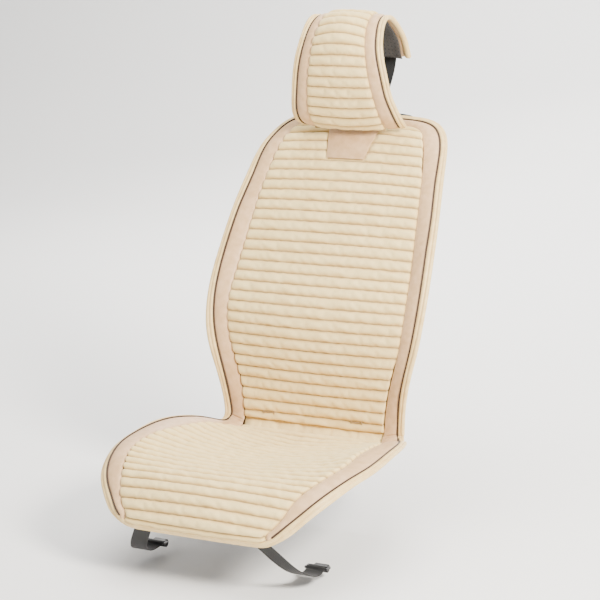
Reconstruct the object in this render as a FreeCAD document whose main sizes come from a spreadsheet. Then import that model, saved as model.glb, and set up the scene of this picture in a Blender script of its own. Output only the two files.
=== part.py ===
import FreeCAD, Part
import os
from math import cos, pi, radians, sin
import Sketcher
from FreeCAD import Placement, Rotation, Vector

# Car seat cover set, worn shape, in millimetres. +X is the seated person's left, -Y the front,
# +Z up, and the origin is the middle of the crease where seat and backrest meet.

doc = FreeCAD.newDocument("SeatCoverSet")
sheet = doc.addObject("Spreadsheet::Sheet", "Sizes")
sizes = {
    "quilt_proud": 3.0,
    "quilt_depth": 6.0,
    "border_depth": 4.5,
    "binding_depth": 6.0,
    "piping_size": 3.0,
    "seam_gap": 0.8,
    "backing_start": 8.6,
    "backing_end": 10.2,
    "seat_backing_drop": 3.0,
    "patch_thick": 1.6,
    "patch_gap": 1.2,
    "web_thick": 1.6,
    "front_web_width": 38.0,
    "anchor_web_width": 25.0,
    "top_web_width": 25.0,
    "flap_width": 28.0,
    "tape_thick": 1.4,
    "bar_radius": 2.3,
    "loop_inner": 2.8,
    "loop_outer": 4.4,
    "frame_width": 48.0,
    "window_width": 40.0,
    "frame_reach": 14.0,
    "crossbar": 5.0,
    "frame_thick": 3.6,
    "hook_width": 26.0,
    "hook_inner": 5.0,
    "hook_outer": 8.0,
    "hook_shank": 8.0,
    "hook_tip_angle": -130.0,
    "disc_radius": 25.0,
    "disc_thick": 4.0,
    "slot_length": 28.0,
    "slot_near": 1.7,
    "slot_far": 7.6,
    "buckle_height": 32.0,
    "buckle_thick": 11.0,
    "socket_length": 30.0,
    "yoke_reach": 9.0,
    "yoke_bar": 3.8,
    "window_start": -7.0,
    "window_end": 3.0,
    "cavity_height": 25.0,
    "cavity_thick": 5.6,
    "cavity_length": 26.0,
    "buckle_play": 0.4,
    "plug_base": 9.0,
    "prong_length": 23.0,
    "prong_width": 4.5,
    "prong_thick": 5.0,
    "prong_play": 0.6,
    "guide_setback": 4.0,
    "guide_half": 2.0,
}
for row, (alias, value) in enumerate(sizes.items(), start=1):
    sheet.set(f"A{row}", alias)
    sheet.set(f"B{row}", str(value))
    sheet.setAlias(f"B{row}", alias)
doc.recompute()
size = {alias: float(sheet.get(alias)) for alias in sizes}

parts = []

# Points inside the foam that each cover is stretched over: thickness runs towards them.
seatCore = Vector(0, -230, -200)
backCore = Vector(0, 300, 250)
headCore = Vector(0, 235, 720)

# Seat cover lines (half width, y, z), row by row from the crease to the front hem.
seatCentre = [
    (0, -22, 7), (0, -46, 4), (0, -72, 3), (0, -105, 4), (0, -150, 9), (0, -200, 16),
    (0, -250, 23), (0, -291, 29), (0, -336, 34), (0, -376, 37), (0, -410, 36),
    (0, -438, 28), (0, -458, 12), (0, -472, -8), (0, -481, -26), (0, -483, -37),
]
seatSeam = [
    (163, -22, 9), (169, -46, 12), (185, -68, 22), (202, -102, 34), (211, -148, 44), (218, -198, 51),
    (226, -245, 56), (231, -291, 55), (226, -336, 52), (216, -374, 45), (203, -406, 35),
    (192, -429, 22), (184, -446, 6), (173, -460, -12), (159, -472, -27), (148, -478, -36),
]
seatPiping = [
    (200, -22, 16), (212, -45, 24), (226, -68, 34), (243, -102, 44), (259, -148, 52), (266, -198, 55),
    (269, -250, 54), (268, -291, 52), (260, -338, 48), (249, -376, 40), (236, -407, 29),
    (221, -431, 15), (204, -448, -1), (186, -464, -17), (166, -475, -34), (148, -481, -44),
]
seatEdge = [
    (212, -22, 13), (226, -46, 21), (241, -68, 31), (258, -102, 41), (273, -148, 48), (280, -198, 49),
    (282, -250, 45), (281, -291, 42), (273, -339, 37), (262, -379, 27), (249, -411, 15),
    (232, -435, 0), (215, -451, -16), (199, -463, -31), (179, -470, -43), (157, -469, -53),
]
seatHemInner = [(120, -483, -45), (60, -484, -45), (0, -484, -45)]
seatHemOuter = [(122, -468, -57), (60, -467, -58), (0, -467, -58)]

# Backrest cover lines, from the crease up and over the shoulder to the middle of the top edge.
backCentre = [
    (0, -10, 28), (0, -8, 71), (0, -7, 117), (0, -7, 165), (0, -5, 208), (0, 4, 252),
    (0, 44, 326), (0, 80, 390), (0, 116, 450), (0, 154, 510), (0, 190, 560), (0, 212, 586), (0, 229, 600),
]
backSeam = [
    (164, -8, 28), (167, -7, 71), (175, -3, 117), (188, -2, 163), (199, 2, 208), (204, 11, 252),
    (201, 52, 328), (195, 89, 391), (189, 122, 449), (181, 160, 508), (169, 198, 561),
    (157, 221, 584), (140, 238, 599), (105, 244, 605), (50, 243, 606), (0, 243, 606),
]
backPiping = [
    (192, -10, 28), (197, -11, 75), (205, -13, 120), (218, -11, 168), (228, -5, 213), (233, 6, 256),
    (233, 42, 334), (228, 77, 393), (222, 116, 450), (211, 160, 509), (202, 202, 560),
    (188, 232, 586), (168, 251, 604), (122, 259, 614), (55, 260, 616), (0, 260, 616),
]
backEdge = [
    (208, -12, 28), (212, -12, 75), (221, -15, 120), (235, -16, 170), (245, -10, 210), (250, 4, 253),
    (250, 42, 328), (245, 79, 387), (238, 119, 449), (227, 165, 511), (216, 207, 558),
    (201, 241, 584), (178, 263, 604), (126, 274, 616), (56, 275, 619), (0, 275, 619),
]

# Headrest cover lines, from the front lower edge up, over the top and down the rear.
headCentre = [
    (0, 203, 606), (0, 188, 611), (0, 172, 632), (0, 162, 661), (0, 155, 693), (0, 152, 723),
    (0, 153, 757), (0, 159, 790), (0, 174, 818), (0, 198, 834), (0, 228, 840), (0, 262, 829),
    (0, 290, 804), (0, 308, 773), (0, 315, 740),
]
headSeam = [
    (80, 208, 607), (82, 196, 612), (82, 178, 632), (79, 166, 660), (74, 159, 693), (69, 157, 723),
    (64, 160, 756), (60, 168, 787), (56, 185, 813), (54, 205, 829), (52, 230, 835), (52, 261, 825),
    (54, 287, 801), (56, 303, 771), (58, 310, 739),
]
headPiping = [
    (108, 212, 609), (111, 202, 613), (111, 184, 631), (106, 171, 658), (99, 164, 691), (94, 162, 722),
    (88, 163, 751), (82, 171, 781), (78, 187, 808), (75, 205, 824), (73, 230, 831), (73, 258, 821),
    (75, 283, 797), (78, 298, 768), (80, 305, 738),
]
headEdge = [
    (122, 217, 611), (125, 207, 615), (126, 189, 632), (120, 176, 659), (113, 168, 691), (108, 166, 722),
    (102, 167, 752), (96, 175, 782), (92, 190, 809), (90, 206, 826), (88, 230, 831), (88, 256, 817),
    (90, 279, 793), (93, 293, 765), (95, 300, 736),
]

# Plain patch at the top of the backrest, under the headrest cover.
patchLine = [(43, 177, 543), (48, 192, 563), (53, 207, 581), (57, 221, 594)]

# Webbing runs (x, y, z) on the left side, each along the middle of the strap.
frontWebRun = [(132, -452, -62), (146, -440, -82), (164, -424, -108), (179, -398, -131), (182, -347.6, -138)]
frontBar = Vector(182, -344, -138)
anchorRun = [(102, 5, 52), (102, 6, 34), (102, 13, 14), (102, 30, -4), (102, 71.8, -25.5)]
anchorBar = Vector(102, 75, -27)
anchorTilt = 65.0                      # degrees that the disc leans back, square to its strap
topWebRun = [(106, 277, 605), (98, 290, 606), (80, 300, 607), (56, 303, 608)]
buckleCentre = Vector(0, 303, 608)
flapRun = [
    (36, 214, 621), (36, 240, 636), (36, 272, 660), (36, 304, 696), (36, 320, 724),
    (36, 324.2, 743), (36, 319.2, 765),
]
hookTapeRun = [(36, 322.5, 742.6), (36, 317.5, 764.6)]
loopTapeRun = [(36, 320.8, 742.2), (36, 315.8, 764.2)]


def mirrored(points):
    """The other side's points, from the middle outwards turned round."""
    return [(-x, y, z) for x, y, z in points]


def normals(grid, core):
    """Unit directions into the foam at each point of a grid of rows."""
    result = []
    for i, line in enumerate(grid):
        above = grid[min(i + 1, len(grid) - 1)]
        below = grid[max(i - 1, 0)]
        row = []
        for j, point in enumerate(line):
            along = above[j] - below[j]
            across = line[min(j + 1, len(line) - 1)] - line[max(j - 1, 0)]
            normal = along.cross(across)
            normal.normalize()
            if normal.dot(core - point) < 0:
                normal = normal * -1
            row.append(normal)
        result.append(row)
    return result


def edgeThrough(points):
    """A straight edge through two points, or a smooth one through more."""
    if len(points) == 2:
        return Part.LineSegment(points[0], points[1]).toShape()
    curve = Part.BSplineCurve()
    curve.interpolate(points)
    return curve.toShape()


def skin(grid, core, near, far):
    """A closed solid between two depths below a grid of rows: a smooth wall and two ruled ends."""
    inward = normals(grid, core)
    sections = []
    ends = []
    for line, row in zip(grid, inward):
        top = [p + n * near for p, n in zip(line, row)]
        bottom = [p + n * far for p, n in zip(line, row)]
        ends.append((edgeThrough(top), edgeThrough(bottom)))
        sections.append(Part.Wire([
            edgeThrough(top),
            edgeThrough([top[-1], bottom[-1]]),
            edgeThrough(bottom[::-1]),
            edgeThrough([bottom[0], top[0]]),
        ]))
    wall = Part.makeLoft(sections, False, False)
    caps = [Part.makeRuledSurface(*ends[0]), Part.makeRuledSurface(*ends[-1])]
    shell = Part.makeShell(wall.Faces + caps)
    shell.sewShape()
    return Part.makeSolid(shell)


def bowed(centre, seam, inset):
    """Five points across a panel, crowned in the middle and drawn in from its seams."""
    middle = Vector(*centre)
    side = Vector(*seam)
    side.x -= inset
    quarter = middle + (side - middle) * 0.25
    quarter.x = side.x * 0.5
    line = [side, quarter, middle]
    return [Vector(-p.x, p.y, p.z) for p in line[:2]] + [middle, quarter, side]


def wide(centre, seam, piping):
    """Points across a backing, following the panel and both borders."""
    line = bowed(centre, seam, 0)
    outer = Vector(*piping)
    return [Vector(-outer.x, outer.y, outer.z)] + line + [outer]


def between(start, end, fromStart, fromEnd):
    """The strip between two seam points, drawn in by a margin at each side."""
    a = Vector(*start)
    b = Vector(*end)
    step = b - a
    step.normalize()
    return [a + step * fromStart, b - step * fromEnd]


def strip(inner, outer, fromInner, fromOuter):
    return [between(a, b, fromInner, fromOuter) for a, b in zip(inner, outer)]


def wholeLine(points):
    """A side's points up to the middle, then the other side's back down."""
    return points + mirrored(points[:-1])[::-1]


def addSkin(name, shape):
    node = doc.addObject("Part::Feature", name)
    node.Label = name
    node.Shape = shape
    node.Placement = Placement()
    parts.append(node)
    return node


def flip(shape):
    return shape.mirror(Vector(0, 0, 0), Vector(1, 0, 0))


def pairOf(shape):
    return Part.makeCompound([shape, flip(shape)])


def ribbon(run, width, thick, core, upright=False):
    """Flat webbing along a run, its width along X, or along Z when it stands on edge."""
    half = Vector(0, 0, width / 2) if upright else Vector(width / 2, 0, 0)
    grid = [[Vector(*p) - half, Vector(*p) + half] for p in run]
    return skin(grid, core, -thick / 2, thick / 2)


def loopAt(centre, axis, width):
    """The sewn loop at the end of a strap, round the bar of its fitting."""
    start = centre - axis * (width / 2)
    outer = Part.makeCylinder(size["loop_outer"], width, start, axis)
    inner = Part.makeCylinder(size["loop_inner"], width, start, axis)
    return outer.cut(inner)


def planeOf(body, role):
    return next(f for f in body.Origin.OriginFeatures if f.Role == role)


def newBody(name):
    body = doc.addObject("PartDesign::Body", name)
    body.Label = name
    parts.append(body)
    return body


def newSketch(body, name, role):
    sketch = body.newObject("Sketcher::SketchObject", name)
    sketch.AttachmentSupport = [(planeOf(body, role), "")]
    sketch.MapMode = "FlatFace"
    return sketch


def drawPolygon(sketch, corners):
    count = len(corners)
    first = len(sketch.Geometry)
    for i, corner in enumerate(corners):
        following = corners[(i + 1) % count]
        sketch.addGeometry(Part.LineSegment(Vector(*corner, 0), Vector(*following, 0)), False)
    for i in range(count):
        joined = first + (i + 1) % count
        sketch.addConstraint(Sketcher.Constraint("Coincident", first + i, 2, joined, 1))


def padOf(body, sketch, name, alias):
    pad = body.newObject("PartDesign::Pad", name)
    pad.Profile = sketch
    pad.Midplane = True
    pad.setExpression("Length", f"Sizes.{alias}")
    return pad


def pocketOf(body, sketch, name, alias):
    pocket = body.newObject("PartDesign::Pocket", name)
    pocket.Profile = sketch
    pocket.Midplane = True
    pocket.setExpression("Length", f"Sizes.{alias}")
    return pocket


def rectangle(x0, x1, y0, y1):
    return [(x0, y0), (x1, y0), (x1, y1), (x0, y1)]


def addBar(body, name, alias):
    """The round bar along X at the body's origin that a webbing loop turns on."""
    sketch = newSketch(body, name + "Circle", "YZ_Plane")
    sketch.addGeometry(Part.Circle(Vector(0, 0, 0), Vector(0, 0, 1), size["bar_radius"]), False)
    sketch.addConstraint(Sketcher.Constraint("Radius", 0, size["bar_radius"]))
    sketch.setExpression("Constraints[0]", "Sizes.bar_radius")
    sketch.addConstraint(Sketcher.Constraint("Coincident", 0, 3, -1, 1))
    return padOf(body, sketch, name, alias)


def frontHook(name, side):
    """A moulded hook: an open frame with a round bar for the strap, and a J that grips a seat rail."""
    body = newBody(name)
    half = size["frame_width"] / 2
    window = size["window_width"] / 2
    reach = size["frame_reach"]
    rim = size["frame_thick"] / 2
    crossbar = reach - size["crossbar"]
    frame = newSketch(body, name + "Frame", "XY_Plane")
    drawPolygon(frame, [
        (-half, -rim), (-window, -rim), (-window, crossbar), (window, crossbar),
        (window, -rim), (half, -rim), (half, reach), (-half, reach),
    ])
    padOf(body, frame, name + "Plate", "frame_thick")
    doc.recompute()
    addBar(body, name + "Bar", "frame_width")
    outer = size["hook_outer"]
    inner = size["hook_inner"]
    end = reach + size["hook_shank"]
    top = (outer - inner) / 2
    middle = Vector(end, top - outer, 0)
    tip = radians(size["hook_tip_angle"])
    across = Vector(cos(tip), sin(tip), 0)
    curl = newSketch(body, name + "Curl", "YZ_Plane")
    axis = Vector(0, 0, 1)
    start = Vector(reach - 2, top, 0)
    under = Vector(reach - 2, -top, 0)
    edges = [
        Part.LineSegment(start, Vector(end, top, 0)),
        Part.ArcOfCircle(Part.Circle(middle, axis, outer), tip, pi / 2),
        Part.LineSegment(middle + across * outer, middle + across * inner),
        Part.ArcOfCircle(Part.Circle(middle, axis, inner), tip, pi / 2),
        Part.LineSegment(Vector(end, -top, 0), under),
        Part.LineSegment(under, start),
    ]
    for edge in edges:
        curl.addGeometry(edge, False)
    padOf(body, curl, name + "Grip", "hook_width")
    body.Placement = Placement(Vector(side * frontBar.x, frontBar.y, frontBar.z), Rotation())
    return body


def anchorDisc(name, side):
    """A slotted disc that turns edgeways to pass the crevice, then square to hold."""
    body = newBody(name)
    circle = newSketch(body, name + "Circle", "XY_Plane")
    circle.addGeometry(Part.Circle(Vector(0, 0, 0), Vector(0, 0, 1), size["disc_radius"]), False)
    circle.addConstraint(Sketcher.Constraint("Radius", 0, size["disc_radius"]))
    circle.setExpression("Constraints[0]", "Sizes.disc_radius")
    circle.addConstraint(Sketcher.Constraint("Coincident", 0, 3, -1, 1))
    padOf(body, circle, name + "Plate", "disc_thick")
    slots = newSketch(body, name + "SlotLines", "XY_Plane")
    half = size["slot_length"] / 2
    drawPolygon(slots, rectangle(-half, half, size["slot_near"], size["slot_far"]))
    drawPolygon(slots, rectangle(-half, half, -size["slot_far"], -size["slot_near"]))
    doc.recompute()
    pocketOf(body, slots, name + "Slots", "buckle_thick")
    turn = Rotation(Vector(1, 0, 0), anchorTilt)
    body.Placement = Placement(Vector(side * anchorBar.x, anchorBar.y, anchorBar.z), turn)
    return body


def addYoke(body, name, root, way):
    """Two arms and an upright bar past a buckle's end, for its strap loop; way is +1 or -1 along X."""
    half = size["buckle_height"] / 2
    arm = half - 3
    far = root + way * size["yoke_reach"]
    near = far - way * size["yoke_bar"]
    outline = newSketch(body, name + "Outline", "XZ_Plane")
    drawPolygon(outline, [
        (root, half), (far, half), (far, -half), (root, -half),
        (root, -arm), (near, -arm), (near, arm), (root, arm),
    ])
    doc.recompute()
    return padOf(body, outline, name, "frame_thick")


def buckleSocket(name):
    """The hollow half of the buckle, open towards +X, with a side window for each prong."""
    body = newBody(name)
    half = size["buckle_height"] / 2
    length = size["socket_length"]
    shell = newSketch(body, name + "Outline", "XZ_Plane")
    drawPolygon(shell, rectangle(-length / 2, length / 2, -half, half))
    padOf(body, shell, name + "Shell", "buckle_thick")
    doc.recompute()
    cavity = newSketch(body, name + "CavityLines", "XZ_Plane")
    inside = size["cavity_height"] / 2
    drawPolygon(cavity, rectangle(length / 2 - size["cavity_length"], length / 2 + 1, -inside, inside))
    pocketOf(body, cavity, name + "Cavity", "cavity_thick")
    windows = newSketch(body, name + "WindowLines", "XZ_Plane")
    near = size["window_start"]
    far = size["window_end"]
    drawPolygon(windows, rectangle(near, far, inside - 1, half + 1))
    drawPolygon(windows, rectangle(near, far, -half - 1, 1 - inside))
    doc.recompute()
    pocketOf(body, windows, name + "Windows", "cavity_thick")
    addYoke(body, name + "Yoke", -length / 2, -1)
    body.Placement = Placement(buckleCentre, Rotation())
    return body


def bucklePlug(name):
    """The pronged half: a base, a centre guide and two springy prongs with a thumb pad each."""
    body = newBody(name)
    half = size["buckle_height"] / 2
    mouth = size["socket_length"] / 2 + size["buckle_play"]
    base = newSketch(body, name + "Outline", "XZ_Plane")
    drawPolygon(base, rectangle(mouth, mouth + size["plug_base"], -half, half))
    padOf(body, base, name + "Base", "buckle_thick")
    doc.recompute()
    prongs = newSketch(body, name + "ProngLines", "XZ_Plane")
    tip = mouth - size["prong_length"]
    inside = size["cavity_height"] / 2 - size["prong_play"]
    width = size["prong_width"]
    guide = tip + size["guide_setback"]
    guideHalf = size["guide_half"]
    drawPolygon(prongs, rectangle(tip, mouth + 1, inside - width, inside))
    drawPolygon(prongs, rectangle(tip, mouth + 1, -inside, width - inside))
    drawPolygon(prongs, rectangle(guide, mouth + 1, -guideHalf, guideHalf))
    padOf(body, prongs, name + "Prongs", "prong_thick")
    doc.recompute()
    addYoke(body, name + "Yoke", mouth + size["plug_base"], 1)
    body.Placement = Placement(buckleCentre, Rotation())
    return body


# Quilted panels: one laminated solid each, soft face proud of the seam lines.
gap = size["seam_gap"]
proud = -size["quilt_proud"]
depth = size["quilt_depth"]
groove = size["piping_size"] / 2 + gap


def panelGrid(centre, seam):
    return [bowed(c, s, gap) for c, s in zip(centre, seam)]


addSkin("seat_quilted_panel", skin(panelGrid(seatCentre, seatSeam), seatCore, proud, depth))
addSkin("back_quilted_panel", skin(panelGrid(backCentre, backSeam), backCore, proud, depth))
addSkin("headrest_quilted_panel", skin(panelGrid(headCentre, headSeam), headCore, proud, depth))

# Smooth borders between the inner seam and the piping.
borderDepth = size["border_depth"]
seatStrip = strip(seatSeam[:-3], seatPiping[:-3], gap, groove)
seatBorder = skin(seatStrip, seatCore, -1, borderDepth)
addSkin("seat_border_left", seatBorder)
addSkin("seat_border_right", flip(seatBorder))
backStrip = strip(wholeLine(backSeam), wholeLine(backPiping), gap, groove)
addSkin("back_border", skin(backStrip, backCore, -1, borderDepth))
headBorder = skin(strip(headSeam, headPiping, gap, groove), headCore, -1, borderDepth)
addSkin("headrest_border_left", headBorder)
addSkin("headrest_border_right", flip(headBorder))


def pipingGrid(piping, edge):
    """A narrow square run centred on the piping line."""
    half = size["piping_size"] / 2
    return [[a - (b - a).normalize() * half, a + (b - a).normalize() * half]
            for a, b in ((Vector(*p), Vector(*e)) for p, e in zip(piping, edge))]


seatCord = skin(pipingGrid(seatPiping[:-1], seatEdge[:-1]), seatCore, -2, 1)
addSkin("seat_piping_left", seatCord)
addSkin("seat_piping_right", flip(seatCord))
addSkin("back_piping", skin(pipingGrid(wholeLine(backPiping), wholeLine(backEdge)), backCore, -2, 1))
headCord = skin(pipingGrid(headPiping, headEdge), headCore, -2, 1)
addSkin("headrest_piping_left", headCord)
addSkin("headrest_piping_right", flip(headCord))

# Rolled bindings round the outside edges; the seat's runs on along the front hem.
bindingDepth = size["binding_depth"]
seatInner = wholeLine(seatPiping + seatHemInner)
seatOuter = wholeLine(seatEdge + seatHemOuter)
seatRoll = strip(seatInner, seatOuter, groove, 0)
addSkin("seat_edge_binding", skin(seatRoll, seatCore, -2, bindingDepth))
backRoll = strip(wholeLine(backPiping), wholeLine(backEdge), groove, 0)
addSkin("back_edge_binding", skin(backRoll, backCore, -2, bindingDepth))
headRoll = skin(strip(headPiping, headEdge, groove, 0), headCore, -2, bindingDepth)
addSkin("headrest_binding_left", headRoll)
addSkin("headrest_binding_right", flip(headRoll))

# Backing cloths under the quilts and borders.
start = size["backing_start"]
end = size["backing_end"]


def backingGrid(centre, seam, piping):
    return [wide(c, s, p) for c, s, p in zip(centre, seam, piping)]


seatCloth = backingGrid(seatCentre[:-1], seatSeam, seatPiping)
drop = size["seat_backing_drop"]
addSkin("seat_non_slip_backing", skin(seatCloth, seatCore, start + drop, end + drop))
backRows = len(backCentre)
backCloth = backingGrid(backCentre, backSeam[:backRows], backPiping[:backRows])
addSkin("back_non_slip_backing", skin(backCloth, backCore, start, end))
addSkin("headrest_lining", skin(backingGrid(headCentre, headSeam, headPiping), headCore, start, end))

# Plain patch sewn over the top ribs.
patchGrid = [[Vector(-w, y, z), Vector(0, y, z), Vector(w, y, z)] for w, y, z in patchLine]
patchFar = proud - size["patch_gap"]
addSkin("label_patch", skin(patchGrid, backCore, patchFar - size["patch_thick"], patchFar))

# Elastic straps.
xAxis = Vector(1, 0, 0)
zAxis = Vector(0, 0, 1)
webThick = size["web_thick"]
frontStrap = ribbon(frontWebRun, size["front_web_width"], webThick, seatCore)
frontStrap = frontStrap.fuse(loopAt(frontBar, xAxis, size["front_web_width"]))
addSkin("front_strap_left", frontStrap)
addSkin("front_strap_right", flip(frontStrap))
frontHook("front_hook_left", 1)
frontHook("front_hook_right", -1)

anchorStrap = ribbon(anchorRun, size["anchor_web_width"], webThick, Vector(102, 100, 100))
anchorStrap = anchorStrap.fuse(loopAt(anchorBar, xAxis, size["anchor_web_width"]))
addSkin("anchor_strap_left", anchorStrap)
addSkin("anchor_strap_right", flip(anchorStrap))
anchorDisc("anchor_disc_left", 1)
anchorDisc("anchor_disc_right", -1)

topWidth = size["top_web_width"]
yokeMiddle = size["yoke_reach"] - size["yoke_bar"] / 2
socketEnd = size["socket_length"] / 2
plugEnd = socketEnd + size["buckle_play"] + size["plug_base"]


def topStrap(fittingEnd):
    """Half of the top strap, standing on edge, from the cover's corner to its loop."""
    loop = buckleCentre + xAxis * (fittingEnd + yokeMiddle)
    wall = (size["loop_inner"] + size["loop_outer"]) / 2
    run = topWebRun + [(loop.x + wall, loop.y, loop.z)]
    return ribbon(run, topWidth, webThick, backCore, upright=True).fuse(loopAt(loop, zAxis, topWidth))


addSkin("top_strap_fixed_half", flip(topStrap(socketEnd)))
addSkin("top_strap_plug_half", topStrap(plugEnd))
buckleSocket("buckle_socket")
bucklePlug("buckle_plug")

# Closing flap of the headrest cover: two elastics from the front lower edge up to the rear panel.
flapStrap = ribbon(flapRun, size["flap_width"], webThick, headCore)
hookTape = ribbon(hookTapeRun, size["flap_width"], size["tape_thick"], headCore)
loopTape = ribbon(loopTapeRun, size["flap_width"], size["tape_thick"], headCore)


addSkin("headrest_closure_elastics", pairOf(flapStrap))
addSkin("headrest_hook_tapes", pairOf(hookTape))
addSkin("headrest_loop_tapes", pairOf(loopTape))

doc.recompute()
for node in doc.Objects:
    if "Invalid" in node.State or "Error" in node.State:
        raise RuntimeError(f"{node.Name} failed: {node.State}")
for node in parts:
    if node.Shape.isNull() or not node.Shape.isValid():
        raise RuntimeError(f"{node.Label} has no valid shape")

os.makedirs("parts", exist_ok=True)
for node in parts:
    node.Shape.exportStep(f"parts/{node.Label}.step")
    box = node.Shape.BoundBox
    print(f"{node.Label}: {len(node.Shape.Solids)} solid(s), {node.Shape.Volume / 1000:.1f} cm3, "
          f"z {box.ZMin:.0f} to {box.ZMax:.0f}")
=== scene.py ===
import math
import bmesh
import bpy
from mathutils import Matrix, Vector, noise
from mathutils.bvhtree import BVHTree


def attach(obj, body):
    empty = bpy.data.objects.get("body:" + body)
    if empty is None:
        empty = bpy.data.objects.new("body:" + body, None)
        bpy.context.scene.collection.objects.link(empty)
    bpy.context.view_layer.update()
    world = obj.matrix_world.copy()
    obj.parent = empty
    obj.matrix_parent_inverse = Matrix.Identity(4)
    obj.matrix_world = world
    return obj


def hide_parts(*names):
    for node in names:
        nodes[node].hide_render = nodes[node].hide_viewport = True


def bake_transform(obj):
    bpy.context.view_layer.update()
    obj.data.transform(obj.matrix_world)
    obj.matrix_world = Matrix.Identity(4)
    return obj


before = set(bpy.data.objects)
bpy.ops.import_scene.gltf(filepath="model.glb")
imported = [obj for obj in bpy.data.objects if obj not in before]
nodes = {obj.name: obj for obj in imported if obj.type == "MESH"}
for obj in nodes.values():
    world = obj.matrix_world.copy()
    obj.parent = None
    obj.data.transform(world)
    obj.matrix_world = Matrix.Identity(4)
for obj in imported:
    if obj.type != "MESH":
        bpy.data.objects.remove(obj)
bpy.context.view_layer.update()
print("frame loaded:", len(nodes), "nodes")

mm = 0.001

view = {"azimuth": 30, "elevation": 14, "distance": 4.3, "turn": 2.8, "lens": 129,
        "target": (0, -0.040, 0.297)}


def addCamera():
    a, e, turn = (math.radians(view[k]) for k in ("azimuth", "elevation", "turn"))
    back = Vector((math.sin(a) * math.cos(e), -math.cos(a) * math.cos(e), math.sin(e)))
    level = Vector((math.cos(a), math.sin(a), 0))
    rise = back.cross(level)
    right = level * math.cos(turn) - rise * math.sin(turn)
    up = level * math.sin(turn) + rise * math.cos(turn)
    data = bpy.data.cameras.new("camera")
    data.lens = view["lens"]
    data.sensor_width = 36
    data.clip_end = 50
    camera = bpy.data.objects.new("camera", data)
    bpy.context.scene.collection.objects.link(camera)
    turned = Matrix((right, up, back)).transposed().to_4x4()
    camera.matrix_world = Matrix.Translation(Vector(view["target"]) + back * view["distance"]) @ turned
    bpy.context.scene.camera = camera


def addLight(name, place, aim, size, power, colour):
    data = bpy.data.lights.new(name, "AREA")
    data.shape = "RECTANGLE"
    data.size, data.size_y = size
    data.energy = power
    data.color = colour
    light = bpy.data.objects.new(name, data)
    light.location = place
    light.rotation_euler = (Vector(place) - Vector(aim)).to_track_quat("Z", "Y").to_euler()
    bpy.context.scene.collection.objects.link(light)


studio = {"floorLevel": -0.165, "floorSize": 24, "floorSteps": 48, "sweepStart": 2.2, "sweepRadius": 2.5,
          "worldStrength": 0.6, "middle": (0, 0, 0.3)}
lights = {  # place, what it is aimed at, size, watts and colour
    "key": ((2.5, -1.3, 1.9), studio["middle"], (0.8, 0.8), 290, (1.0, 0.95, 0.87)),
    "fill": ((-2.6, -1.8, 1.4), studio["middle"], (2.2, 2.2), 12, (1.0, 0.98, 0.96)),
    "top": ((0.1, 0.0, 3.4), studio["middle"], (2.6, 2.6), 150, (1.0, 0.99, 0.97)),
    "rear": ((-1.2, 2.6, 1.6), studio["middle"], (1.8, 1.8), 40, (1.0, 0.98, 0.96)),
    "wall": ((0.0, 1.6, 3.2), (0, 4.5, 1.2), (3.0, 1.5), 260, (1.0, 1.0, 1.0)),
}
addCamera()
for name, values in lights.items():
    addLight(name, *values)


def hexColour(code):
    parts = [int(code[i:i + 2], 16) / 255 for i in (0, 2, 4)]
    return [c / 12.92 if c <= 0.04045 else ((c + 0.055) / 1.055) ** 2.4 for c in parts] + [1]


def put(tree, kind, settings=None, links=None):  # adds a node, its settings and what feeds it
    node = tree.nodes.new("ShaderNode" + kind)
    for name, value in (settings or {}).items():
        if hasattr(node, name):
            setattr(node, name, value)
        else:
            node.inputs[name].default_value = value
    for name, source in (links or {}).items():
        tree.links.new(source, node.inputs[name])
    return node


def newMaterial(name, finish):
    material = bpy.data.materials.new(name)
    material.use_nodes = True
    tree = material.node_tree
    shader = tree.nodes["Principled BSDF"]
    for socket, value in finish.items():
        shader.inputs[socket].default_value = value
    return material, tree, shader


def setRamp(node, stops):
    ramp = node.color_ramp
    while len(ramp.elements) < len(stops):
        ramp.elements.new(0.5)
    for element, (place, colour) in zip(ramp.elements, stops):
        element.position = place
        element.color = colour


# Short-pile polyester velvet: dull, with a pale sheen and a brushed, slightly blotchy nap.
# Painted light on the velvet: the valley colour is painted shade in the rib valleys, the crown colour is a
# painted highlight on the rib tops, and the slope colour is the velvet's own.
velvet = {"valley": "a88c5e", "slope": "e8c988", "crown": "f6dc9e", "pile": 0.7 * mm, "nap": 38 * mm}


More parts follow.
